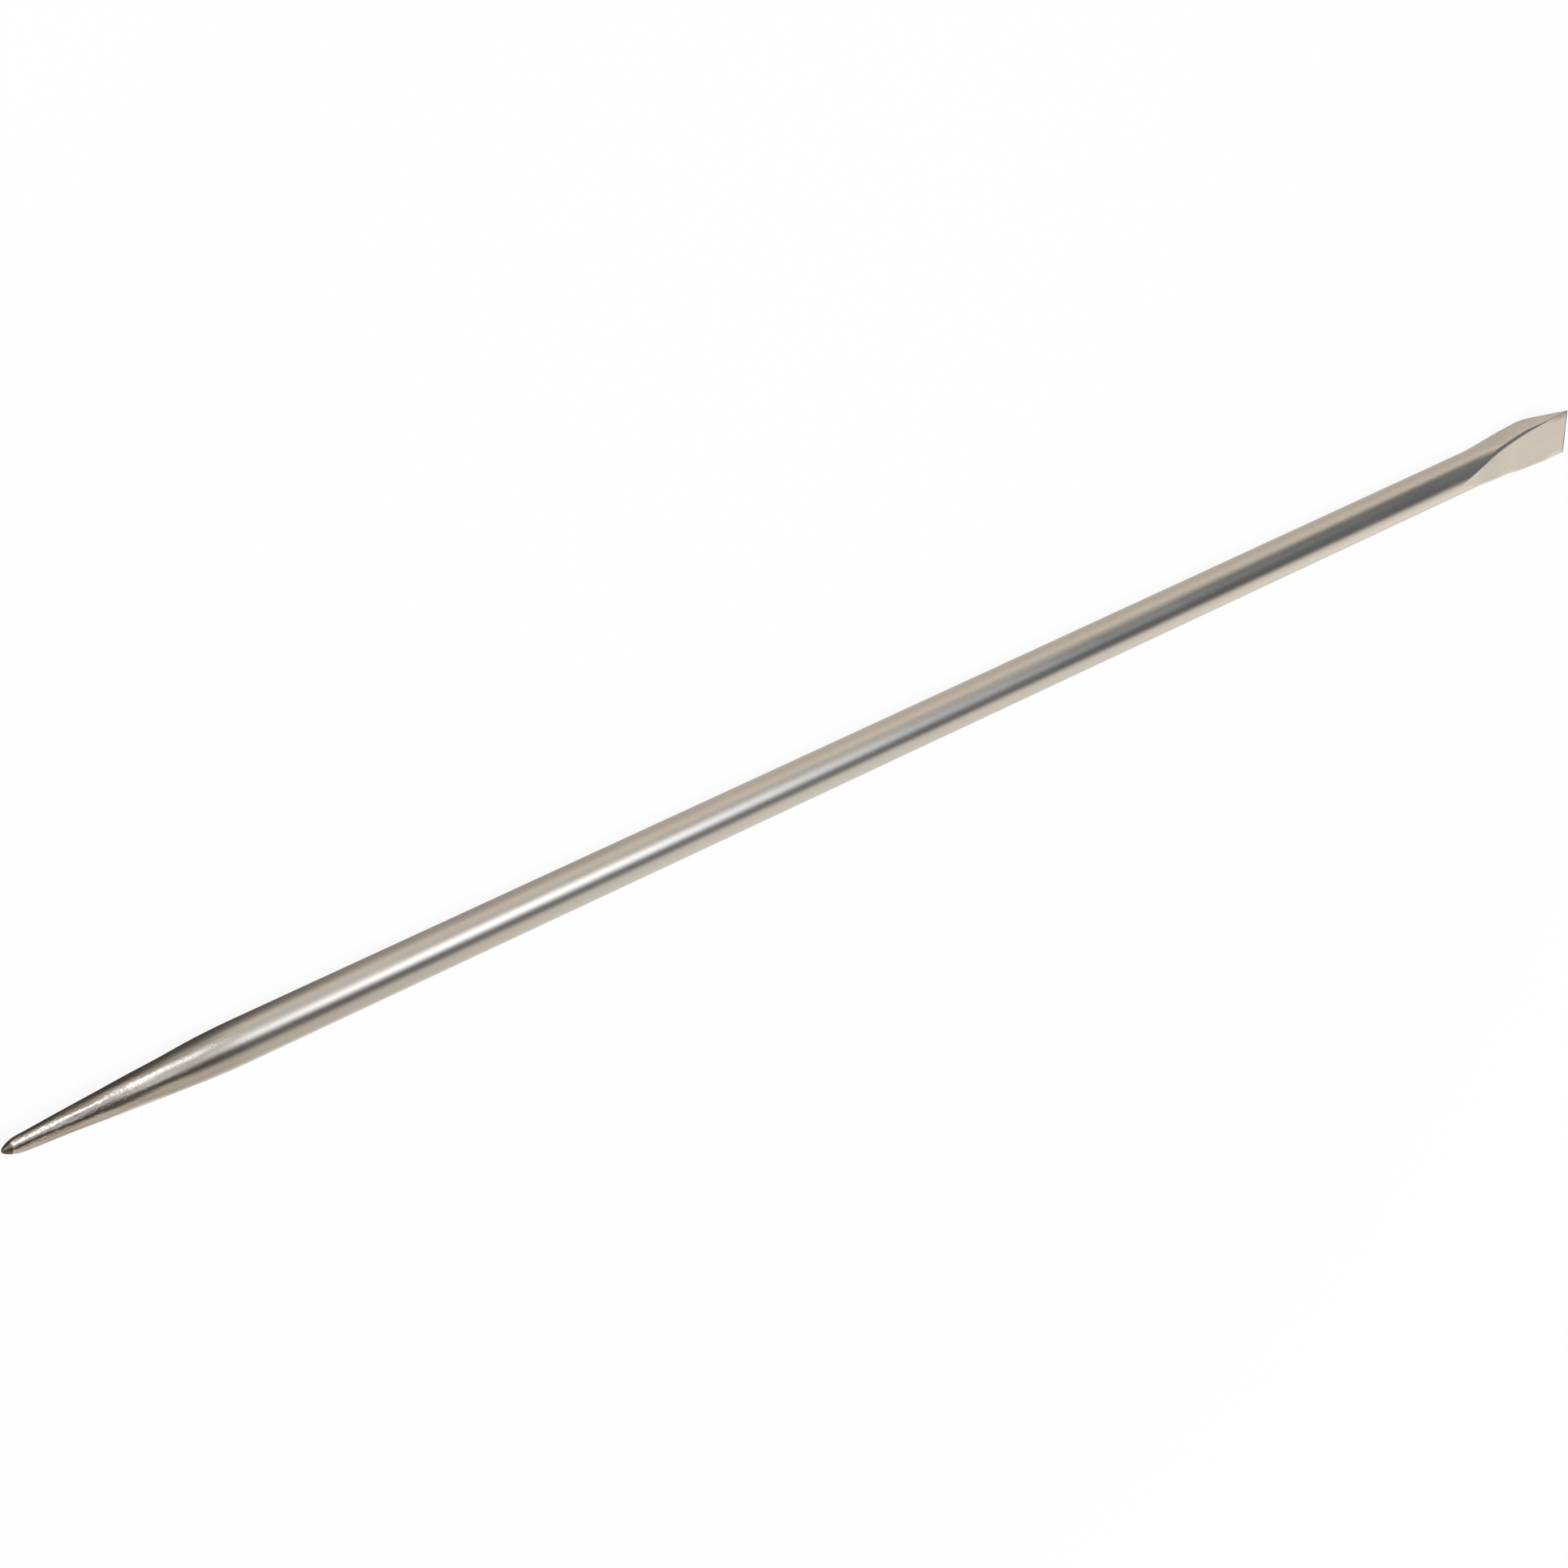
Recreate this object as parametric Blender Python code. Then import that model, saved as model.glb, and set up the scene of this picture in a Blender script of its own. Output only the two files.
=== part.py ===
"""Pinch bar: one piece of forged steel, with a tapered point at one end and a chisel at the other.

Metres, +Z up. The bar lies along X, with the point at -X and the chisel edge at +X. The
chisel's flat face looks up. The origin is on the ground, under the middle of the bar.
"""

import math

import bmesh
import bpy

BAR_LENGTH = 0.9144
SHANK_DIAMETER = 0.01905

# Point end: a short ground point, then a long taper that blends into the shank
TIP_DIAMETER = 0.0008
POINT_LENGTH = 0.0055
POINT_DIAMETER = 0.0069
TAPER_LENGTH = 0.0940
TAPER_BLEND = 0.0240

# Chisel end: heights are from the bar's axis, and lengths go back from the edge
BLADE_WIDTH = 0.0234
BLADE_SIDE_LENGTH = 0.0280
FLARE_LENGTH = 0.0224
CORNER_RADIUS = 0.0011
CORNER_LENGTH = 0.0194
CORNER_RUNOUT = 0.0493
FACE_HEIGHT = 0.0049
FACE_LENGTH = 0.0345
FACE_RUNOUT = 0.0492
HEEL_DEPTH = 0.0051
HEEL_LENGTH = 0.0234
HEEL_RADIUS = 0.0300
HEEL_RUNOUT = 0.0470
EDGE_THICKNESS = 0.0006

# The bar lies on a narrow flat, and has the same flat above and on both sides. Each takes up twice
# this angle of the round, and the rest of each corner is divided into equal sides.
FLAT_ANGLE = math.radians(11.25)
CORNER_SIDES = 6

# How finely the other curves are divided
BLEND_STEPS = 8
BLADE_STEP = 0.0035
HEEL_STEPS = 6
RUNOUT_STEPS = 14

# How far a cutter reaches past what it cuts
CUTTER_MARGIN = 0.0050

STEEL_COLOUR = (0.60, 0.55, 0.49, 1.0)
STEEL_ROUGHNESS = 0.28

SHANK_RADIUS = SHANK_DIAMETER / 2
TIP_X = -BAR_LENGTH / 2
EDGE_X = BAR_LENGTH / 2

# The axis is this far above the lowest flat, a little less than the true radius
AXIS_HEIGHT = SHANK_RADIUS * math.cos(FLAT_ANGLE)


def smooth_step(share):
    """Rises from 0 to 1 as the share does, level at both ends."""
    share = min(max(share, 0.0), 1.0)
    return share * share * (3 - 2 * share)


def turned_radius(along):
    """Radius of the round bar at a distance from the tip: point, taper, blend and shank.

    The blend is a parabola that leaves the taper's line and meets the shank's, both at a tangent.
    """
    taper_start = POINT_LENGTH
    taper_end = POINT_LENGTH + TAPER_LENGTH
    slope = (SHANK_RADIUS - POINT_DIAMETER / 2) / TAPER_LENGTH
    if along <= taper_start:
        return (TIP_DIAMETER + (POINT_DIAMETER - TIP_DIAMETER) * along / POINT_LENGTH) / 2
    if along <= taper_end - TAPER_BLEND / 2:
        return POINT_DIAMETER / 2 + slope * (along - taper_start)
    left = max(taper_end + TAPER_BLEND / 2 - along, 0.0)
    return SHANK_RADIUS - slope * left**2 / (2 * TAPER_BLEND)


def blade_half_width(back):
    """Half the blade's width at a distance back from the edge: straight sides, then the flare."""
    share = smooth_step((back - BLADE_SIDE_LENGTH) / FLARE_LENGTH)
    return BLADE_WIDTH / 2 + (SHANK_RADIUS - BLADE_WIDTH / 2) * share


def blade_corner_radius(back):
    """Corner radius of the blade's section, which grows back to the round of the shank."""
    share = smooth_step((back - CORNER_LENGTH) / CORNER_RUNOUT)
    return CORNER_RADIUS + (SHANK_RADIUS - CORNER_RADIUS) * share


def section(half_width, half_height, radius):
    """Points (y, z) of a rounded rectangle, anticlockwise, with a flat on each of its four sides."""
    side_angle = (math.pi / 2 - 2 * FLAT_ANGLE) / CORNER_SIDES
    points = []
    for corner in range(4):
        side_y = (1, -1, -1, 1)[corner]
        side_z = (1, 1, -1, -1)[corner]
        for side in range(CORNER_SIDES + 1):
            angle = corner * math.pi / 2 + FLAT_ANGLE + side_angle * side
            y = side_y * (half_width - radius) + radius * math.cos(angle)
            z = side_z * (half_height - radius) + radius * math.sin(angle)
            points.append((y, z))
    return points


def bar_stations():
    """Sections of the round and flared bar, as (x, half width, half height, corner radius)."""
    blend_start = POINT_LENGTH + TAPER_LENGTH - TAPER_BLEND / 2
    lengths = [0.0, POINT_LENGTH]
    lengths += [blend_start + TAPER_BLEND * step / BLEND_STEPS for step in range(BLEND_STEPS + 1)]
    stations = []
    for along in lengths:
        radius = turned_radius(along)
        stations.append((TIP_X + along, radius, radius, radius))

    forged = max(
        BLADE_SIDE_LENGTH + FLARE_LENGTH,
        CORNER_LENGTH + CORNER_RUNOUT,
        FACE_LENGTH + FACE_RUNOUT,
        HEEL_LENGTH + HEEL_RADIUS + HEEL_RUNOUT,
    )
    steps = math.ceil(forged / BLADE_STEP) + 1
    for step in range(steps + 1):
        back = BLADE_STEP * (steps - step)
        stations.append((EDGE_X - back, blade_half_width(back), SHANK_RADIUS, blade_corner_radius(back)))
    return stations


def make_object(name, mesh_data):
    """Put finished bmesh geometry in the scene as one object."""
    mesh = bpy.data.meshes.new(name)
    mesh_data.to_mesh(mesh)
    mesh_data.free()
    thing = bpy.data.objects.new(name, mesh)
    bpy.context.scene.collection.objects.link(thing)
    return thing


def make_blank():
    """The bar before its chisel is forged flat: rings of the sections, bridged and capped."""
    blank = bmesh.new()
    rings = []
    for x, half_width, half_height, radius in bar_stations():
        outline = section(half_width, half_height, radius)
        rings.append([blank.verts.new((x, y, AXIS_HEIGHT + z)) for y, z in outline])
    for near, far in zip(rings, rings[1:]):
        for here in range(len(near)):
            after = (here + 1) % len(near)
            blank.faces.new((near[here], near[after], far[after], far[here]))
    blank.faces.new(rings[0])
    blank.faces.new(rings[-1])
    bmesh.ops.recalc_face_normals(blank, faces=blank.faces)
    return make_object("pinch_bar", blank)


def make_cutter(name, profile):
    """A prism across the bar, from a closed profile of (distance back from the edge, height) points."""
    half_width = max(BLADE_WIDTH, SHANK_DIAMETER) / 2 + CUTTER_MARGIN
    cutter = bmesh.new()
    side = [cutter.verts.new((EDGE_X - back, -half_width, AXIS_HEIGHT + z)) for back, z in profile]
    face = cutter.faces.new(side)
    swept = bmesh.ops.extrude_face_region(cutter, geom=[face])["geom"]
    moved = [item for item in swept if isinstance(item, bmesh.types.BMVert)]
    bmesh.ops.translate(cutter, verts=moved, vec=(0, 2 * half_width, 0))
    bmesh.ops.recalc_face_normals(cutter, faces=cutter.faces)
    return make_object(name, cutter)


def runout(start_back, length, start_height, end_height):
    """Points of the S curve that leads from a blade surface back to the surface of the shank."""
    points = []
    for step in range(RUNOUT_STEPS + 1):
        share = step / RUNOUT_STEPS
        height = start_height + (end_height - start_height) * smooth_step(share)
        points.append((start_back + length * share, height))
    return points


def face_profile():
    """What the flat face takes off the top: level from the edge, then up to the shank."""
    top = SHANK_RADIUS + CUTTER_MARGIN
    curve = runout(FACE_LENGTH, FACE_RUNOUT, FACE_HEIGHT, SHANK_RADIUS)
    return [(-CUTTER_MARGIN, FACE_HEIGHT), *curve, (curve[-1][0], top), (-CUTTER_MARGIN, top)]


def back_profile():
    """What the back takes off below: the bevel, the rounded heel, then down to the shank.

    The heel is an arc that starts at a tangent to the bevel and ends level, at the heel's depth.
    """
    bottom = -SHANK_RADIUS - CUTTER_MARGIN
    edge_height = FACE_HEIGHT - EDGE_THICKNESS
    slope = math.atan2(edge_height + HEEL_DEPTH, HEEL_LENGTH)
    past_edge = edge_height + CUTTER_MARGIN * math.tan(slope)
    level_back = HEEL_LENGTH + HEEL_RADIUS * math.tan(slope / 2)
    heel = []
    for step in range(HEEL_STEPS):
        turn = slope * (1 - step / HEEL_STEPS)
        back = level_back - HEEL_RADIUS * math.sin(turn)
        heel.append((back, HEEL_RADIUS * (1 - math.cos(turn)) - HEEL_DEPTH))
    curve = runout(level_back, HEEL_RUNOUT, -HEEL_DEPTH, -SHANK_RADIUS)
    below = [(curve[-1][0], bottom), (-CUTTER_MARGIN, bottom)]
    return [(-CUTTER_MARGIN, past_edge), *heel, *curve, *below]


def cut(thing, cutters):
    """Take the cutters away from an object for good, and delete them."""
    for cutter in cutters:
        boolean = thing.modifiers.new(cutter.name, "BOOLEAN")
        boolean.operation = "DIFFERENCE"
        boolean.solver = "EXACT"
        boolean.object = cutter
    evaluated = thing.evaluated_get(bpy.context.evaluated_depsgraph_get())
    whole = thing.data
    thing.data = bpy.data.meshes.new_from_object(evaluated)
    thing.data.name = thing.name
    thing.modifiers.clear()
    bpy.data.meshes.remove(whole)
    for cutter in cutters:
        bpy.data.objects.remove(cutter)


def satin_steel():
    """Bright steel with a satin polish, slightly warm."""
    material = bpy.data.materials.new("satin_steel")
    material.use_nodes = True
    shader = material.node_tree.nodes["Principled BSDF"]
    shader.inputs["Base Color"].default_value = STEEL_COLOUR
    shader.inputs["Metallic"].default_value = 1.0
    shader.inputs["Roughness"].default_value = STEEL_ROUGHNESS
    return material


for old in list(bpy.data.objects):
    bpy.data.objects.remove(old)

bar = make_blank()
cut(bar, [make_cutter("face_cutter", face_profile()), make_cutter("back_cutter", back_profile())])
bar.data.materials.clear()
bar.data.materials.append(satin_steel())
bar.data.shade_smooth()
bar.data.set_sharp_from_angle(angle=math.radians(25))
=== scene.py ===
"""Looks of the pinch bar: the forged and polished bar, its steel, and the white studio around it.

Metres, +Z up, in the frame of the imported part. The bar lies along X, with its point at -X and its
chisel edge at +X. The chisel's flat face looks up.
"""

import math

import bpy
import numpy as np
from mathutils import Matrix, Vector


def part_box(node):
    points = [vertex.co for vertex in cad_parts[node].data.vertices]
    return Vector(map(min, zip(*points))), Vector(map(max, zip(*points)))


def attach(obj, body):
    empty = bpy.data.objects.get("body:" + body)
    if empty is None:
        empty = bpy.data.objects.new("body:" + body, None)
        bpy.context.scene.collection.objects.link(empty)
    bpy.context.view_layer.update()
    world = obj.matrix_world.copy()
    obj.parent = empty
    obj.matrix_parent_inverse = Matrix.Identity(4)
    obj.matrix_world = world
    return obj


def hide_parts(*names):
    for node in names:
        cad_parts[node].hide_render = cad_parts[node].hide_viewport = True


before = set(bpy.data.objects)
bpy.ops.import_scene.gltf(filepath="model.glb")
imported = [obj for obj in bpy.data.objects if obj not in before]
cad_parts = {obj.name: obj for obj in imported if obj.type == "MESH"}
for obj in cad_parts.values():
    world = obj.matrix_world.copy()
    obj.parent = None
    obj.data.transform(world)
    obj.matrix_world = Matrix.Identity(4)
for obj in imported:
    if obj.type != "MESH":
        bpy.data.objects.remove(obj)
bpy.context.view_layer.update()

# The forged bar
# One piece of round tool steel. Its point end is ground to a long taper and a short blunt point, and
# its other end is hammered flat on top, spread a little and bevelled from below to a chisel edge.
bar_low, bar_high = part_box("pinch_bar")
BAR_LENGTH = bar_high.x - bar_low.x
TIP_X = bar_low.x
EDGE_X = bar_high.x
AXIS_HEIGHT = (bar_low.z + bar_high.z) / 2
SHANK_RADIUS = 0.01905 / 2

# Lengths of the point end, from its tip
POINT_LENGTH = 0.0055
POINT_RADIUS = 0.0069 / 2
POINT_BLUNTNESS = 0.00093
POINT_SHOULDER = 0.0003
TAPER_LENGTH = 0.0940
TAPER_BLEND = 0.0240

# Hand grinding leaves slow lobes round the taper. Each has its number round it, its turn in radians
# for each metre along, the angle it starts at, and its share of the unevenness.
GRINDING_UNEVENNESS = 0.00004
GRINDING_LOBES = ((5, 90, 0, 1.0), (8, -140, 1, 0.7), (3, 210, 2, 1.0))

# Lengths of the chisel end, back from its edge, and heights from the bar's axis
BLADE_HALF_WIDTH = 0.0234 / 2
BLADE_SIDE_LENGTH = 0.0280
FLARE_LENGTH = 0.0224
CORNER_RADIUS = 0.0011
CORNER_LENGTH = 0.0194
CORNER_RUNOUT = 0.0493
FACE_HEIGHT = 0.0049
FACE_LENGTH = 0.0345
FACE_RUNOUT = 0.0492
HEEL_DEPTH = 0.0051
HEEL_LENGTH = 0.0234
HEEL_RADIUS = 0.0300
HEEL_RUNOUT = 0.0470
EDGE_THICKNESS = 0.0006

# The edge is honed on top, flares a little to both sides and has rounded corners
HONED_LENGTH = 0.0011
HONED_DROP = 0.0003
EDGE_FLARE = 0.0005
EDGE_FLARE_LENGTH = 0.0260
BLADE_CORNER_ROUND = 0.0002

# The face's long borders are a crease near the edge and grow to a full rounding farther back, most of
# which is lost again in the run-out. The back's borders have the same rounding all along.
FACE_CREASE = 0.0002
FACE_ROUND = 0.0023
FACE_CREASE_LENGTH = 0.0080
FACE_ROUND_LENGTH = 0.0400
FACE_FADE_LENGTH = 0.0340
FACE_FADE = 0.9
BACK_ROUND = 0.0007

# The most that a rounding takes up of the section's thickness, and of its half width
FACE_ROUND_LIMIT = 0.36
BACK_ROUND_LIMIT = 0.1
WIDTH_ROUND_LIMIT = 0.4

# Towards the edge the face's long borders are rolled down
ROLL_WIDTH = 0.0032
ROLL_DROP = 0.00045
ROLL_START = 0.0240
ROLL_END = 0.0060
ROLL_POWER = 1.25

# Points in each stretch of a section, the lengths between sections, and how far the fine ones reach
SIDE_POINTS = 30
FACE_POINTS = 30
ROUND_POINTS = 9
NOSE_STEP = 0.00002
POINT_STEP = 0.00025
TAPER_STEP = 0.0015
SHANK_STEP = 0.0040
BLADE_STEP = 0.0006
EDGE_STEP = 0.0001
FINE_PAST_POINT = 0.001
FINE_BEFORE_EDGE = 0.002

# The share of a corner's width up to which the top is followed, just before it stands upright
CORNER_REACH = 0.9999

# Where no face is cut, the section's border lines spread out over this length, from the first angle
# up its round to the second
BORDER_SPREAD = 0.0300
BORDER_TOP = math.radians(87)
BORDER_SHANK = math.radians(50)

# A bend sharper than this between two faces stays an edge
SHARP_ANGLE = math.radians(35)

# The map's strips, the gaps beside each of them, the start and length of the skin in a strip, and the
# places of the two flat ends along the last strip, all but the number as shares of a strip
MAP_STRIPS = 4
STRIP_GAP = 0.02
STRIP_START = 0.012
STRIP_LENGTH = 0.97
TIP_PLACE = 0.005
EDGE_PLACE = 0.991


def smooth_step(share):
    """Three times the share's square less twice its cube: from 0 to 1, level at both ends."""
    share = np.clip(share, 0, 1)
    return share * share * (3 - 2 * share)


def soft_least(first, second, blend):
    """The lesser of two, with a parabola where they differ by less than the blend."""
    near = np.clip(1 - np.abs(first - second) / blend, 0, 1)
    return np.minimum(first, second) - blend * near * near / 4


def turned_radius(along):
    """Radius of the round bar at each distance from the tip.

    A blunt nose like a parabola, then a straight taper, then another parabola that meets the shank.
    """
    nose = np.sqrt(2 * POINT_BLUNTNESS * along)
    slope = (SHANK_RADIUS - POINT_RADIUS) / TAPER_LENGTH
    taper = POINT_RADIUS + slope * (along - POINT_LENGTH)
    left = np.clip(POINT_LENGTH + TAPER_LENGTH + TAPER_BLEND / 2 - along, 0, TAPER_BLEND)
    blend = SHANK_RADIUS - slope * left * left / (2 * TAPER_BLEND)
    body = np.where(left < TAPER_BLEND, blend, taper)
    return soft_least(nose, body, POINT_SHOULDER)


def blade_half_width(back):
    """The shank's radius, widened by one S curve to the blade and by a slight one to its edge.

    The two corners of the edge are rounded in plan.
    """
    share = smooth_step((back - BLADE_SIDE_LENGTH) / FLARE_LENGTH)
    short = np.clip(1 - back / BLADE_CORNER_ROUND, 0, 1)
    corner = BLADE_CORNER_ROUND * (1 - np.sqrt(1 - short * short))
    flare = EDGE_FLARE * smooth_step(1 - back / EDGE_FLARE_LENGTH)
    return BLADE_HALF_WIDTH + (SHANK_RADIUS - BLADE_HALF_WIDTH) * share + flare - corner


def blade_corner_radius(back):
    """The section's corner radius, from the blade's small one by an S curve to the shank's."""
    share = smooth_step((back - CORNER_LENGTH) / CORNER_RUNOUT)
    return CORNER_RADIUS + (SHANK_RADIUS - CORNER_RADIUS) * share


def face_height(back):
    """Height of the flat face: level, an S curve up to the shank, and honed down at the edge."""
    climb = (SHANK_RADIUS - FACE_HEIGHT) * smooth_step((back - FACE_LENGTH) / FACE_RUNOUT)
    honed = HONED_DROP * np.clip(1 - back / HONED_LENGTH, 0, 1)
    return FACE_HEIGHT + climb - honed


def back_depth(back):
    """Depth of the back below the axis: a straight bevel, the heel's arc, then an S curve down."""
    edge = FACE_HEIGHT - EDGE_THICKNESS
    slope = math.atan2(edge + HEEL_DEPTH, HEEL_LENGTH)
    level = HEEL_LENGTH + HEEL_RADIUS * math.tan(slope / 2)
    bevel = back * math.tan(slope) - edge
    across = np.clip((level - back) / HEEL_RADIUS, 0, math.sin(slope))
    heel = HEEL_DEPTH - HEEL_RADIUS * (1 - np.sqrt(1 - across * across))
    run = (SHANK_RADIUS - HEEL_DEPTH) * smooth_step((back - level) / HEEL_RUNOUT)
    return np.where(back < level - HEEL_RADIUS * math.sin(slope), bevel, heel + run)


def face_rounding(back):
    """Rounding of the face's long borders: an S curve up to the full one, then most of the way back."""
    full = smooth_step((back - FACE_CREASE_LENGTH) / (FACE_ROUND_LENGTH - FACE_CREASE_LENGTH))
    faded = full * (1 - FACE_FADE * smooth_step((back - FACE_ROUND_LENGTH) / FACE_FADE_LENGTH))
    return FACE_CREASE + (FACE_ROUND - FACE_CREASE) * faded


def border_share(back, end):
    """How high up a round section its border line runs: near the top, and lower past the end."""
    angle = BORDER_TOP + (BORDER_SHANK - BORDER_TOP) * smooth_step((back - end) / BORDER_SPREAD)
    return np.sin(angle)


def stations():
    """Distances of the sections from the tip, close together where the shape changes fast.

    There is one where each strip of the wrapped map is cut.
    """
    cuts = [BAR_LENGTH * strip / MAP_STRIPS for strip in range(1, MAP_STRIPS)]
    taper_end = POINT_LENGTH + TAPER_LENGTH + TAPER_BLEND / 2
    forged = BAR_LENGTH - FACE_LENGTH - FACE_RUNOUT - BORDER_SPREAD
    marks = [0.0, POINT_LENGTH + FINE_PAST_POINT, taper_end, *cuts, forged]
    marks += [BAR_LENGTH - FINE_BEFORE_EDGE, BAR_LENGTH]
    steps = [POINT_STEP, TAPER_STEP, *[SHANK_STEP] * MAP_STRIPS, BLADE_STEP, EDGE_STEP]
    runs = [
        np.linspace(start, end, round((end - start) / step), endpoint=False)
        for start, end, step in zip(marks, marks[1:], steps)
    ]
    return np.concatenate([*runs, [BAR_LENGTH]])


def eased(count):
    """Shares from 0 to 1 as half a cosine wave gives them, closer together near both ends."""
    return (1 - np.cos(np.pi * np.arange(count) / (count - 1))) / 2


class Section:
    """Rounded rectangles, one for each station, whose top and bottom are cut off level.

    Heights are of the upper half, and the lower half is the same with its heights turned over.
    """

    def __init__(self, half_width, half_height, corner):
        self.half_width = half_width[:, None]
        self.straight = (half_height - corner)[:, None]
        self.corner = corner[:, None]

    def run_to(self, height):
        """Arc length of the +Y side from its middle up to a height."""
        over = np.clip((np.abs(height) - self.straight) / self.corner, 0, 1)
        length = np.minimum(np.abs(height), self.straight) + self.corner * np.arcsin(over)
        return np.sign(height) * length

    def side(self, run):
        """Point and direction of the +Y side at an arc length from its middle."""
        turn = np.clip((np.abs(run) - self.straight) / self.corner, 0, np.pi / 2)
        inset = self.corner * (1 - np.cos(turn))
        height = np.minimum(np.abs(run), self.straight) + self.corner * np.sin(turn)
        point = np.stack([self.half_width - inset, np.sign(run) * height], -1)
        return point, np.stack([-np.sin(turn) * np.sign(run), np.cos(turn)], -1)

    def top(self, y, cut):
        """Point and outward direction of the top at a distance from its middle, cut level."""
        past = np.abs(y) - self.half_width + self.corner
        past = np.clip(past / self.corner, 0, CORNER_REACH)
        drop = np.sqrt(1 - past * past)
        whole = self.straight + self.corner * drop
        slope = np.where(whole > cut, 0, -past / drop)
        point = np.stack([y, np.minimum(whole, cut)], -1)
        return point, np.stack([np.ones_like(slope), slope], -1)


def cross(first, second):
    """Flat cross product of two vectors of (y, z)."""
    return first[..., 0] * second[..., 1] - first[..., 1] * second[..., 0]


def rounded_border(section, cut, reach, rounding):
    """The border of side and top: the side's run, the rounding's points and the top's half width.

    The rounding is a parabola that touches the side and the top, each one rounding from the border.
    """
    height = np.minimum(cut, reach)
    run = section.run_to(height)
    border, _ = section.side(run)
    rounding = np.minimum(rounding, border[..., 0] * WIDTH_ROUND_LIMIT)
    width = border[..., 0] - rounding
    start, up = section.side(run - rounding)
    end, out = section.top(width, cut)
    meeting = start + up * (cross(end - start, out) / cross(up, out))[..., None]
    share = (np.arange(1, ROUND_POINTS + 1) / (ROUND_POINTS + 1))[None, :, None]
    curve = (1 - share) ** 2 * start + 2 * share * (1 - share) * meeting + share**2 * end
    return run - rounding, curve, width


def bar_rings(along):
    """Points (y, z) round the bar at each station, anticlockwise from the lower +Y border."""
    back = BAR_LENGTH - along
    radius = turned_radius(along)
    turned = along < BAR_LENGTH / 2
    half_width = np.where(turned, radius, blade_half_width(back))
    half_height = np.where(turned, radius, SHANK_RADIUS)
    corner = np.where(turned, radius, blade_corner_radius(back))
    upper_cut = np.where(turned, radius, face_height(back))[:, None]
    lower_cut = np.where(turned, radius, back_depth(back))[:, None]
    section = Section(half_width, half_height, corner)
    upper_reach = (half_height * border_share(back, FACE_LENGTH + FACE_RUNOUT))[:, None]
    lower_reach = (half_height * border_share(back, HEEL_LENGTH + HEEL_RUNOUT))[:, None]
    thickness = upper_cut + lower_cut
    upper_round = np.minimum(face_rounding(back)[:, None], thickness * FACE_ROUND_LIMIT)
    lower_round = np.minimum(BACK_ROUND, thickness * BACK_ROUND_LIMIT)

    upper = rounded_border(section, upper_cut, upper_reach, upper_round)
    lower = rounded_border(section, lower_cut, lower_reach, lower_round)
    upper_run, upper_curve, upper_width = upper
    lower_run, lower_curve, lower_width = lower
    side_run = -lower_run + (upper_run + lower_run) * eased(SIDE_POINTS)
    side, _ = section.side(side_run)
    top, _ = section.top(upper_width * (1 - 2 * eased(FACE_POINTS)), upper_cut)
    bottom, _ = section.top(lower_width * (2 * eased(FACE_POINTS) - 1), lower_cut)
    over = np.array([1, -1])
    across = np.array([-1, 1])
    return np.concatenate(
        [
            side,
            upper_curve,
            top,
            (upper_curve * across)[:, ::-1],
            (side * across)[:, ::-1],
            lower_curve * across * over,
            bottom * over,
            (lower_curve * over)[:, ::-1],
        ],
        axis=1,
    )


def ground_flats(along, rings):
    """How far the taper's skin stands out of its round: cosines round and along it, summed.

    They grow over the point and shrink to nothing where the taper blends into the shank.
    """
    angle = np.arctan2(rings[..., 1], rings[..., 0])
    place = along[:, None]
    lobes = sum(
        share * np.cos(count * angle + turn * place + start)
        for count, turn, start, share in GRINDING_LOBES
    )
    grown = smooth_step(place / POINT_LENGTH)
    left = smooth_step((POINT_LENGTH + TAPER_LENGTH - place) / TAPER_BLEND)
    return GRINDING_UNEVENNESS * lobes * grown * left


def rolled_down(along, rings):
    """How far the face's long borders are rolled down near the edge, by a power of the way across.

    The drop is at most half the thickness at the face, and shrinks to nothing at the back.
    """
    back = (BAR_LENGTH - along)[:, None]
    share = smooth_step((ROLL_START - back) / (ROLL_START - ROLL_END))
    inner = blade_half_width(back) - ROLL_WIDTH * share
    over = np.clip((np.abs(rings[..., 0]) - inner) / ROLL_WIDTH, 0, 1)
    low = -back_depth(back)
    thickness = face_height(back) - low
    height = np.clip((rings[..., 1] - low) / thickness, 0, 1)
    return np.minimum(ROLL_DROP * share, thickness / 2) * over**ROLL_POWER * height


def wrapped_map(mesh, along, rings):
    """The bar's skin as strips of its length, side by side, that fill the square.

    Along a strip is the distance from its start, and across it the way round the bar. The flat ends
    lie beyond the two ends of the last strip.
    """
    count = rings.shape[1]
    strip_metres = BAR_LENGTH / MAP_STRIPS
    middle = (along[:-1] + along[1:]) / 2
    strip = middle // strip_metres
    start = STRIP_START + STRIP_LENGTH * (along[:-1] / strip_metres - strip)
    end = start + STRIP_LENGTH * np.diff(along) / strip_metres
    round_bar = STRIP_GAP + (1 - 2 * STRIP_GAP) * np.arange(count + 1) / count
    low = (strip[:, None] + round_bar[:-1]) / MAP_STRIPS
    high = (strip[:, None] + round_bar[1:]) / MAP_STRIPS
    start, end = (np.broadcast_to(edge[:, None], low.shape) for edge in (start, end))
    corners = [(start, low), (start, high), (end, high), (end, low)]
    skin = np.stack([np.stack(corner, -1) for corner in corners], 2).reshape(-1, 2)
    caps = []
    for ring, place in ((rings[0, ::-1], TIP_PLACE), (rings[-1], EDGE_PLACE)):
        flat = (ring - ring.mean(axis=0))[:, ::-1] / strip_metres
        caps.append(flat + np.array([place, 1 - 0.5 / MAP_STRIPS]))
    uv = mesh.uv_layers.new(name="OFBake")
    uv.data.foreach_set("uv", np.concatenate([skin, *caps]).ravel())


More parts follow.
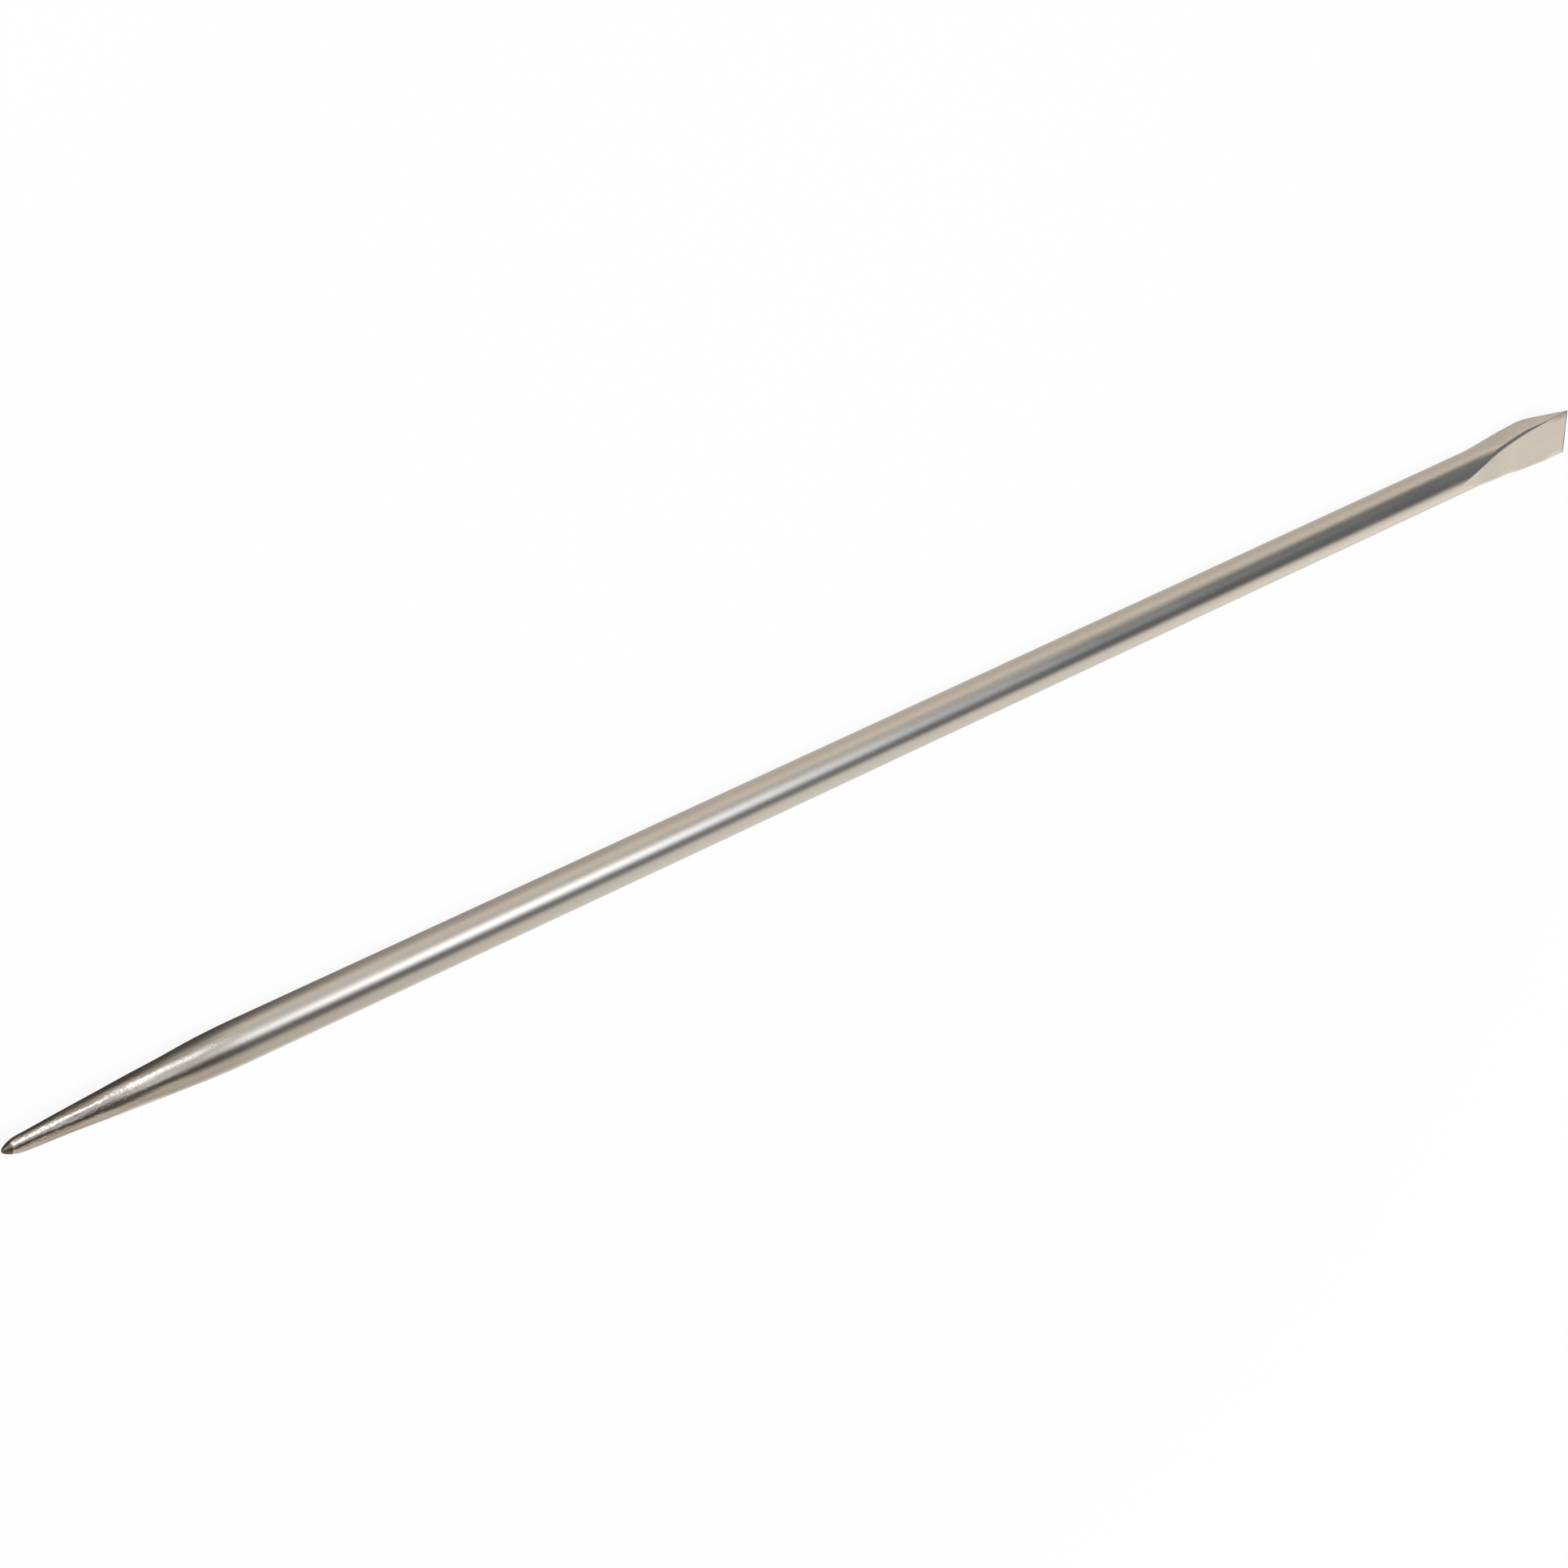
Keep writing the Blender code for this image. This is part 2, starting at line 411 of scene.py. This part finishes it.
def make_bar():
    """The bar's skin: quads between neighbouring rings, and a flat polygon on each end."""
    along = stations()
    rings = bar_rings(np.maximum(along, NOSE_STEP))
    rings *= (1 + ground_flats(along, rings) / np.linalg.norm(rings, axis=-1))[..., None]
    rings[..., 1] -= rolled_down(along, rings)
    x = np.broadcast_to((TIP_X + along)[:, None], rings.shape[:2])
    points = np.stack([x, rings[..., 0], AXIS_HEIGHT + rings[..., 1]], -1).reshape(-1, 3)
    index = np.arange(len(points)).reshape(rings.shape[:2])
    after = np.roll(index, -1, axis=1)
    quads = np.stack([index[:-1], after[:-1], after[1:], index[1:]], -1).reshape(-1, 4)
    faces = [*quads.tolist(), index[0, ::-1].tolist(), index[-1].tolist()]
    mesh = bpy.data.meshes.new("forged_bar")
    mesh.from_pydata(points.tolist(), [], faces)
    wrapped_map(mesh, along, rings)
    mesh.shade_smooth()
    mesh.set_sharp_from_angle(angle=SHARP_ANGLE)
    bar = bpy.data.objects.new("forged_bar", mesh)
    bpy.context.scene.collection.objects.link(bar)
    return bar


# The bar's bright steel is polished lengthwise to a satin. The taper is ground, and browner towards
# the point, which is left bare by the wheel, and the chisel's edge is honed across. The taper's
# darker brown and the honed edge's dark colour are partly painted shade, standing in for the darker
# reflections there.
STEEL_COLOUR = (0.55, 0.485, 0.41)
CLOUDED_SHARE = 0.94
# The taper's streak colours and their share: a ground finish, darker partly as painted shade
GROUND_AND_SHADE_DARK = (0.36, 0.29, 0.235)
GROUND_AND_SHADE_BRIGHT = (0.52, 0.445, 0.365)
GROUND_AND_SHADE_SHARE = 0.8
BARE_DARK = (0.08, 0.055, 0.035)
BARE_BRIGHT = (0.21, 0.15, 0.11)
# The honed edge's colour: scored by the wheel, and dark partly as a painted shade line
HONED_AND_SHADE_DARK = (0.20, 0.20, 0.18)

# How rough the steel is, and how much the noise, the grinding, the wheel and the honing change that
STEEL_ROUGHNESS = 0.27
GRAIN_ROUGHNESS = 0.04
CLOUD_ROUGHNESS = 0.08
GROUND_ROUGHNESS = -0.06
BARE_ROUGHNESS = 0.16
HONED_ROUGHNESS = 0.10

# Where each finish ends, from the tip or from the edge, how unevenly, and over how short a way
GROUND_LENGTH = 0.16
BARE_LENGTH = 0.0042
BARE_UNEVENNESS = 0.004
BARE_BLUR = 0.0003
HONED_BLUR = 0.0001
BLADE_START = 0.08
BLADE_END = 0.05

# Noises in the steel: cells in a metre along and across the bar, detail, and where each begins
GRAIN = ((9, 1000, 1000), 2.0)
BANDS = ((3, 260, 260), 1.0, (0, 4, 9))
CLOUDS = ((25, 60, 60), 3.0, (7, 0, 3))
STREAKS = ((45, 700, 700), 3.0, (2, 5, 0))
PITS = ((600, 1000, 1000), 2.0, (4, 1, 7))
WHEEL_MARKS = ((5200, 160, 160), 2.0, (0, 1, 2))
NOISE_MIDDLE = 0.5

# The stretch of each noise that is drawn out to the whole way from 0 to 1
CLOUD_SHARE = 0.6
CLOUD_STRETCH = (0.3, 0.7)
STREAK_STRETCH = (0.35, 0.62)
PIT_STRETCH = (0.45, 0.75)
HONED_STRETCH = (0.25, 0.55)

# Depths of the relief, in steps of four thousandths of a millimetre
RELIEF_STEP = 0.000004
GRAIN_RELIEF = 0.4
BLADE_GRAIN_LOSS = 0.2
BAND_RELIEF = 1.2
GROUND_BAND_RELIEF = 9.0
STREAK_RELIEF = 1.5
PIT_RELIEF = 12.0
BARE_RELIEF = 4.0
HONED_RELIEF = 2.0


class Wire:
    """An output of a node. Arithmetic on it adds Math nodes to its tree."""

    def __init__(self, tree, socket=None):
        self.tree = tree
        self.socket = socket

    def node(self, kind, settings=None, sockets=None, output=0):
        """A node of that type, with its settings and then the values or wires of its sockets."""
        made = self.tree.nodes.new(kind)
        for name, value in (settings or {}).items():
            setattr(made, name, value)
        for name, value in (sockets or {}).items():
            if isinstance(value, Wire):
                self.tree.links.new(value.socket, made.inputs[name])
            else:
                made.inputs[name].default_value = value
        return Wire(self.tree, made.outputs[output] if made.outputs else None)

    def beside(self, name):
        """Another output of the same node."""
        return Wire(self.tree, self.socket.node.outputs[name])

    def into(self, shader, name):
        """Link this to a named input of a node that the material already has."""
        self.tree.links.new(self.socket, shader.inputs[name])

    def maths(self, operation, *values):
        """A Math node on these values."""
        return self.node("ShaderNodeMath", {"operation": operation}, dict(enumerate(values)))

    def __add__(self, other):
        return self.maths("ADD", self, other)

    def __radd__(self, other):
        return self.maths("ADD", other, self)

    def __sub__(self, other):
        return self.maths("SUBTRACT", self, other)

    def __rsub__(self, other):
        return self.maths("SUBTRACT", other, self)

    def __mul__(self, other):
        return self.maths("MULTIPLY", self, other)

    def __rmul__(self, other):
        return self.maths("MULTIPLY", other, self)

    def smooth(self, low, high):
        """0 at the low value and 1 at the high one, eased between. Either may be the greater."""
        sockets = {"Value": self, "From Min": low, "From Max": high}
        return self.node("ShaderNodeMapRange", {"interpolation_type": "SMOOTHSTEP"}, sockets)

    def tint(self, low, high):
        """A colour between two, by this share."""
        settings = {"data_type": "RGBA"}
        return self.node("ShaderNodeMix", settings, {"Factor": self, 6: low, 7: high}, output=2)

    def noise(self, place, scale, detail=2.0, offset=(0, 0, 0)):
        """Noise at a place, stretched by a scale for each axis, from about 0.25 to 0.75."""
        sockets = {"Vector": place, "Scale": scale, "Location": offset}
        stretched = self.node("ShaderNodeMapping", None, sockets)
        sockets = {"Vector": stretched, "Detail": detail, "Scale": 1.0}
        return self.node("ShaderNodeTexNoise", None, sockets)


def opaque(colour, share=1.0):
    """A share of a colour of red, green and blue, with the alpha of 1 that a socket takes."""
    return (*(share * part for part in colour), 1.0)


def satin_steel():
    """Steel whose polish, tint and relief vary along and around the bar."""
    material = bpy.data.materials.new("satin_steel")
    material.use_nodes = True
    tree = material.node_tree
    shader = tree.nodes["Principled BSDF"]
    steel = Wire(tree)
    place = steel.node("ShaderNodeTexCoord", output="Object")
    x = steel.node("ShaderNodeSeparateXYZ", None, {0: place})

    grain = steel.noise(place, *GRAIN)
    bands = steel.noise(place, *BANDS)
    clouds = steel.noise(place, *CLOUDS)
    streaks = steel.noise(place, *STREAKS).smooth(*STREAK_STRETCH)
    pits = steel.noise(place, *PITS).smooth(*PIT_STRETCH)
    wheel = steel.noise(place, *WHEEL_MARKS)

    bare_end = TIP_X + BARE_LENGTH
    honed_start = EDGE_X - HONED_LENGTH
    uneven_x = x + (clouds - NOISE_MIDDLE) * BARE_UNEVENNESS
    ground = x.smooth(TIP_X + GROUND_LENGTH, TIP_X)
    bare = uneven_x.smooth(bare_end + BARE_BLUR, bare_end - BARE_BLUR)
    blade = x.smooth(EDGE_X - BLADE_START, EDGE_X - BLADE_END)
    honed = x.smooth(honed_start - HONED_BLUR, honed_start + HONED_BLUR)

    clear = (clouds * CLOUD_SHARE + bands * (1 - CLOUD_SHARE)).smooth(*CLOUD_STRETCH)
    polished = clear.tint(opaque(STEEL_COLOUR, CLOUDED_SHARE), opaque(STEEL_COLOUR))
    # The taper's ground streaks, darker and browner towards the point partly as painted shade
    streaked_and_shaded = streaks.tint(opaque(GROUND_AND_SHADE_DARK), opaque(GROUND_AND_SHADE_BRIGHT))
    browned_and_shaded = (ground * GROUND_AND_SHADE_SHARE).tint(polished, streaked_and_shaded)
    # The honed edge, dark partly as a painted shade line along it
    scored_and_shaded = honed * wheel.smooth(*HONED_STRETCH)
    dulled_and_shaded = scored_and_shaded.tint(browned_and_shaded, opaque(HONED_AND_SHADE_DARK))
    base = bare.tint(dulled_and_shaded, wheel.tint(opaque(BARE_DARK), opaque(BARE_BRIGHT)))
    base.into(shader, "Base Color")

    rough = STEEL_ROUGHNESS + (grain - NOISE_MIDDLE) * GRAIN_ROUGHNESS
    rough = rough + (clouds - NOISE_MIDDLE) * CLOUD_ROUGHNESS
    rough = rough + bare * BARE_ROUGHNESS + honed * HONED_ROUGHNESS + ground * GROUND_ROUGHNESS
    rough.into(shader, "Roughness")
    shader.inputs["Metallic"].default_value = 1.0

    relief = grain * (GRAIN_RELIEF - blade * BLADE_GRAIN_LOSS)
    relief = relief + bands * (BAND_RELIEF + ground * GROUND_BAND_RELIEF)
    relief = relief + ground * (streaks * STREAK_RELIEF + pits * PIT_RELIEF)
    relief = relief + wheel * (bare * BARE_RELIEF + honed * HONED_RELIEF)
    sockets = {"Height": relief, "Distance": RELIEF_STEP, "Strength": 1.0}
    bump = steel.node("ShaderNodeBump", None, sockets)
    bump.into(shader, "Normal")
    return material


bar = make_bar()
bar.data.materials.append(satin_steel())
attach(bar, "root")
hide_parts("pinch_bar")

# The floor
# A wide sheet of white paper, level with the lowest line of the bar's true round. The lamp overhead
# throws the bar's soft shadow on it.
FLOOR_HALF_SIZE = 8.0
FLOOR_HEIGHT = AXIS_HEIGHT - SHANK_RADIUS
PAPER_WHITE = 0.88
SHADOW_REACH = 0.25
SHADOW_SHARE = 0.08


def sheet_mesh(name, corners):
    """A grid of points as a mesh of quads, facing the side where rows turn left to columns."""
    rows, columns = corners.shape[:2]
    index = np.arange(rows * columns).reshape(rows, columns)
    quads = np.stack([index[:-1, :-1], index[1:, :-1], index[1:, 1:], index[:-1, 1:]], -1)
    mesh = bpy.data.meshes.new(name)
    mesh.from_pydata(corners.reshape(-1, 3).tolist(), [], quads.reshape(-1, 4).tolist())
    sheet = bpy.data.objects.new(name, mesh)
    bpy.context.scene.collection.objects.link(sheet)
    return sheet


def seen_directly(wire):
    """1 for what the camera sees, also mirrored or through glass, and 0 for scattered light."""
    rays = wire.node("ShaderNodeLightPath", output="Is Camera Ray")
    return rays + rays.beside("Is Glossy Ray") + rays.beside("Is Transmission Ray")


def white_paper():
    """White by itself where the camera sees it, but near the bar a small share of it is lit.

    That share shows the shadow. It is the same up to the bar's half length from the middle, and is
    gone one reach farther out.
    """
    material = bpy.data.materials.new("white_paper")
    material.use_nodes = True
    material.node_tree.nodes.clear()
    paper = Wire(material.node_tree)
    place = paper.node("ShaderNodeTexCoord", output="Object")
    beside = place.node("ShaderNodeVectorMath", {"operation": "LENGTH"}, {0: place}, "Value")
    far = beside.smooth(BAR_LENGTH / 2, BAR_LENGTH / 2 + SHADOW_REACH)
    own = seen_directly(paper) * (1 - SHADOW_SHARE * (1 - far))
    matt = paper.node("ShaderNodeBsdfDiffuse", None, {"Color": opaque([PAPER_WHITE] * 3)})
    white = paper.node("ShaderNodeEmission", None, {"Strength": 1.0})
    mixed = paper.node("ShaderNodeMixShader", None, {0: own, 1: matt, 2: white})
    paper.node("ShaderNodeOutputMaterial", None, {"Surface": mixed})
    return material


floor_ends = np.array([-FLOOR_HALF_SIZE, FLOOR_HALF_SIZE])
floor_x, floor_y = np.meshgrid(floor_ends, -floor_ends)
floor_corners = np.stack([floor_x, floor_y, np.full_like(floor_x, FLOOR_HEIGHT)], -1)
floor = sheet_mesh("floor", floor_corners)
floor.data.materials.append(white_paper())

# The light tent
# White cloth curved over the bar, which only its reflections see. Lamps shine through it low beside
# the point and above the shank, its two sides are pale walls, and the rest of its top is in shade.
TENT_RADIUS = 1.6
TENT_START = -3.2
TENT_END = 4.6
TENT_STEPS_ALONG = 156

# The cloth's two long edges, in degrees up from +Y
TENT_LOW = -8
TENT_HIGH = 188
TENT_STEPS_ROUND = 98

WARM_WHITE = np.array([1.01, 1.0, 0.975])
DAYLIGHT = np.array([0.87, 1.01, 1.20])
BROWN_SHADE = np.array([1.10, 1.0, 0.80])

# Brightness of the two walls and of the shade, before what is added in places
NEAR_WALL = 0.28
FAR_WALL = 0.55
TENT_SHADE = 0.10

# The near wall's soft top edge leans, from the sum of the first two, in degrees, down to the first
NEAR_WALL_TOP = 9
NEAR_WALL_LEAN = 50
NEAR_WALL_BLUR = 7

# Over the shank the shade brightens from this place on, and later by the delay near the tent's top
SHANK_SHADE_START = 0.2
SHANK_SHADE_DELAY = 0.12
SHANK_SHADE_RUN = 0.3


def rise(value, edge):
    """A smooth step of the value's share of the way from an edge's start to its end."""
    start, end = edge
    return smooth_step((value - start) / (end - start))


class Cloth:
    """Places on a lit sheet: in metres along the bar, and how far up or out across it."""

    def __init__(self, x, across):
        self.x = x
        self.across = across

    def light(self, brightness, start=None, end=None, low=None, high=None):
        """The brightness, times a smooth step up or down at each soft edge that is given.

        The light starts and ends along the bar, and reaches from low to high across it. Each edge is
        the two places between which its step runs.
        """
        lit = np.full_like(self.x, brightness)
        for places, first, last in ((self.x, start, end), (self.across, low, high)):
            if first is not None:
                lit = lit * rise(places, first)
            if last is not None:
                lit = lit * (1 - rise(places, last))
        return lit


def tent_light(x, angle):
    """Colour of the cloth at a place along the bar and an angle up from +Y, in degrees.

    Lamps of daylight and warm white walls are added to a shade that turns from brown to daylight.
    """
    cloth = Cloth(x, angle)
    point_lamp = cloth.light(4.2, end=(-0.05, 0.13), low=(-4, 10), high=(12, 39))
    point_lamp += cloth.light(0.45, end=(0.0, 0.15), low=(40, 52), high=(62, 74))
    broad_lamp = cloth.light(3.4, start=(0.14, 0.62), end=(0.55, 1.09))
    broad_lamp += cloth.light(0.22, end=(1.1, 1.7))
    broad_lamp *= cloth.light(1, low=(17, 53), high=(49, 81))

    near_top = NEAR_WALL_TOP + cloth.light(NEAR_WALL_LEAN, end=(0.08, 1.9))
    near_wall = NEAR_WALL + cloth.light(0.22, start=(0.0, 0.25))
    near_wall *= cloth.light(1, high=(near_top - NEAR_WALL_BLUR, near_top + NEAR_WALL_BLUR))
    far_wall = FAR_WALL + cloth.light(0.25, end=(-0.05, 0.2)) + cloth.light(0.29, start=(0.3, 0.9))
    far_wall += cloth.light(0.33, start=(1.1, 1.5), low=(105, 140))
    far_wall *= cloth.light(1, low=(92, 122))
    far_wall += cloth.light(0.16, start=(1.75, 1.90), low=(138, 150))
    far_wall *= 1 - cloth.light(0.8, start=(2.3, 2.6), low=(144, 152), high=(170, 178))

    late = SHANK_SHADE_START + cloth.light(SHANK_SHADE_DELAY, low=(50, 80), high=(100, 130))
    shade = TENT_SHADE + cloth.light(0.21, start=(late, late + SHANK_SHADE_RUN), end=(0.8, 1.4))
    shade += cloth.light(0.45, start=(1.84, 1.93), end=(2.0, 2.25), low=(0, 20), high=(92, 108))
    brown = cloth.light(1, end=(-0.1, 1.0))[..., None]
    shade = (BROWN_SHADE * brown + DAYLIGHT * (1 - brown)) * shade[..., None]
    white = WARM_WHITE * (near_wall + far_wall)[..., None]
    return white + shade + DAYLIGHT * (point_lamp + broad_lamp)[..., None]


def tent_cloth():
    """Cloth that glows in the colour of its own attribute."""
    material = bpy.data.materials.new("tent_cloth")
    material.use_nodes = True
    material.node_tree.nodes.clear()
    cloth = Wire(material.node_tree)
    glow = cloth.node("ShaderNodeAttribute", {"attribute_name": "glow"}, output="Color")
    light = cloth.node("ShaderNodeEmission", None, {"Color": glow, "Strength": 1.0})
    cloth.node("ShaderNodeOutputMaterial", None, {"Surface": light})
    material.cycles.emission_sampling = "NONE"
    return material


def light_only_reflections(sheet, glow, cloth):
    """Give a sheet the cloth and its glow at each point, and hide it from all but reflections."""
    colours = np.concatenate([glow, np.ones((*glow.shape[:2], 1))], -1)
    attribute = sheet.data.attributes.new("glow", "FLOAT_COLOR", "POINT")
    attribute.data.foreach_set("color", colours.astype(np.float32).ravel())
    sheet.data.materials.append(cloth)
    sheet.visible_camera = False
    sheet.visible_diffuse = False
    sheet.visible_transmission = False
    sheet.visible_volume_scatter = False
    sheet.visible_shadow = False


glowing_cloth = tent_cloth()
tent_angle, tent_x = np.meshgrid(
    np.linspace(TENT_LOW, TENT_HIGH, TENT_STEPS_ROUND + 1),
    np.linspace(TENT_START, TENT_END, TENT_STEPS_ALONG + 1),
)
tent_y = TENT_RADIUS * np.cos(np.radians(tent_angle))
tent_z = TENT_RADIUS * np.sin(np.radians(tent_angle))
tent = sheet_mesh("light_tent", np.stack([tent_x, tent_y, tent_z], -1))
light_only_reflections(tent, tent_light(tent_x, tent_angle), glowing_cloth)

# The shade card
# A card laid on the paper along the +Y side of the bar, which only its reflections see. It is dark
# beside the bar, most of all beside the point, and white along its far edge and its chisel end.
CARD_START = -0.80
CARD_END = 0.80
CARD_WIDTH = 0.300
CARD_LIFT = 0.0002
CARD_STEPS_ALONG = 240
CARD_STEPS_ACROSS = 40
CARD_WHITE = 0.95
CARD_SHADE = 0.24
TAPER_SHADE = 0.20
BROWN_WHITE = np.array([1.02, 1.0, 0.96])

# How far back along the bar a reflection moves for each metre out from it
CARD_SLANT = 0.4


def card_light(x, y):
    """Brightness of the card: white, less a strip of shade along the bar that fades from the point.

    The strip is wider beside the taper. The shade runs aslant, along the line on which the camera
    sees one place on the bar reflected.
    """
    sheet = Cloth(x - CARD_SLANT * y, y)
    strip = sheet.light(1, high=(0.006, 0.040))
    wide = TAPER_SHADE + sheet.light(0.25, start=(-0.425, -0.400))
    wide *= sheet.light(1, end=(-0.375, -0.345))
    strip += (1 - strip) * wide * sheet.light(1, high=(0.04, 0.30))
    dark = CARD_SHADE + sheet.light(0.27, end=(-0.27, -0.05))
    dark += sheet.light(0.39, end=(-0.37, -0.24))
    dark *= 1 - rise(x, (0.45, 0.75))
    return CARD_WHITE * (1 - strip * dark)


# Rows lie closer together towards the bar, as the squares of even steps
card_y, card_x = np.meshgrid(
    CARD_WIDTH * np.linspace(1, 0, CARD_STEPS_ACROSS + 1) ** 2,
    np.linspace(CARD_START, CARD_END, CARD_STEPS_ALONG + 1),
)
card_corners = np.stack([card_x, card_y, np.full_like(card_x, FLOOR_HEIGHT + CARD_LIFT)], -1)
card = sheet_mesh("shade_card", card_corners)
card_colours = BROWN_WHITE * card_light(card_x, card_y)[..., None]
light_only_reflections(card, card_colours, glowing_cloth)

# The lamp and the room
# One broad soft lamp overhead, only for the shadow, in a plain white room. The room is white where
# the camera sees it, and gives less light than that to what it falls on.
LAMP_PLACE = Vector((0, 0.3, 1.8))
LAMP_SIZE = 1.6
LAMP_POWER = 22.0
ROOM_LIGHT = 0.55

lamp_data = bpy.data.lights.new("soft_lamp", "AREA")
lamp_data.size = LAMP_SIZE
lamp_data.energy = LAMP_POWER
lamp = bpy.data.objects.new("soft_lamp", lamp_data)
lamp.location = LAMP_PLACE
lamp.rotation_euler = LAMP_PLACE.to_track_quat("Z", "Y").to_euler()
lamp.visible_glossy = False
bpy.context.scene.collection.objects.link(lamp)

world = bpy.data.worlds.new("white_room")
bpy.context.scene.world = world
world.use_nodes = True
room = Wire(world.node_tree)
background = world.node_tree.nodes["Background"]
background.inputs["Color"].default_value = opaque((1, 1, 1))
room_strength = ROOM_LIGHT + (1 - ROOM_LIGHT) * seen_directly(room)
room_strength.into(background, "Strength")

# The camera
# The photograph's view: a long lens, from beside and above the point end, and turned until the bar
# rises across the picture to its chisel at the right.
CAMERA_AIM = Vector((-0.05731, 0.00190, AXIS_HEIGHT - 0.00038))
CAMERA_DISTANCE = 1.78796
CAMERA_AZIMUTH = math.radians(223.149)
CAMERA_ELEVATION = math.radians(40.194)
CAMERA_ROLL = math.radians(123.929)
CAMERA_LENS = 91.873

level = math.cos(CAMERA_ELEVATION)
sight_x = math.sin(CAMERA_AZIMUTH) * level
sight_y = -math.cos(CAMERA_AZIMUTH) * level
sight = Vector((sight_x, sight_y, math.sin(CAMERA_ELEVATION)))
camera_data = bpy.data.cameras.new("camera")
camera_data.lens = CAMERA_LENS
camera = bpy.data.objects.new("camera", camera_data)
turned = (-sight).to_track_quat("-Z", "Y").to_matrix().to_4x4()
place = Matrix.Translation(CAMERA_AIM + sight * CAMERA_DISTANCE)
camera.matrix_world = place @ turned @ Matrix.Rotation(CAMERA_ROLL, 4, "Z")
bpy.context.scene.collection.objects.link(camera)
bpy.context.scene.camera = camera
bpy.context.scene.view_settings.view_transform = "Standard"
